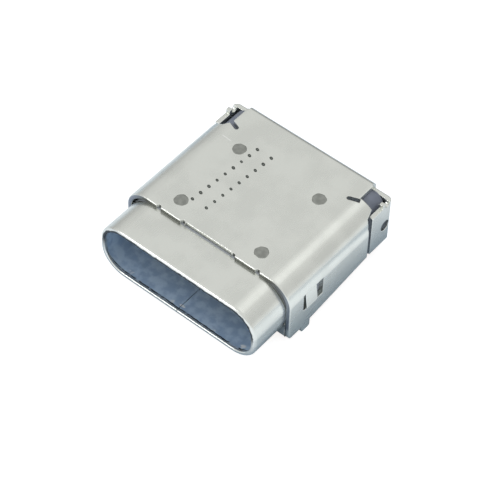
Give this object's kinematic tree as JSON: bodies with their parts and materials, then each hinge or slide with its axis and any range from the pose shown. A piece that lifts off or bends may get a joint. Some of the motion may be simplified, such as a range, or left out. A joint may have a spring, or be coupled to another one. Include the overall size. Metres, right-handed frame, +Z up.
{
  "type": "usb-c receptacle",
  "caption": "Double-shell USB-C socket for a circuit board: drawn steel mouth, welded folded cover with feet and grip tabs, contact tongue and solder tails.",
  "frame": {"origin": "middle of the mouth, in the plane of its rim", "axes": "+X to the right seen from the mouth's front, +Y into the connector, +Z up from the board"},
  "size_m": [0.0096, 0.0099, 0.0037],
  "materials": {
    "tube_steel": "satin nickel",
    "cover_steel": "satin nickel",
    "plate_steel": "satin",
    "black_resin": "matte",
    "contact_gold": "gold flash"
  },
  "bodies": {
    "root": {"inner_shell": "tube_steel", "cover": "cover_steel", "tongue": "black_resin", "mid_plate": "plate_steel", "upper_ground_plate": "plate_steel", "lower_ground_plate": "plate_steel", "upper_contact_carrier": "black_resin", "lower_contact_carrier": "black_resin", "rear_housing": "black_resin", "contact_a01": "contact_gold", "contact_a02": "contact_gold", "contact_a03": "contact_gold", "contact_a04": "contact_gold", "contact_a05": "contact_gold", "contact_a06": "contact_gold", "contact_a07": "contact_gold", "contact_a08": "contact_gold", "contact_a09": "contact_gold", "contact_a10": "contact_gold", "contact_a11": "contact_gold", "contact_a12": "contact_gold", "contact_b01": "contact_gold", "contact_b02": "contact_gold", "contact_b03": "contact_gold", "contact_b04": "contact_gold", "contact_b05": "contact_gold", "contact_b06": "contact_gold", "contact_b07": "contact_gold", "contact_b08": "contact_gold", "contact_b09": "contact_gold", "contact_b10": "contact_gold", "contact_b11": "contact_gold", "contact_b12": "contact_gold"}
  },
  "joints": []
}
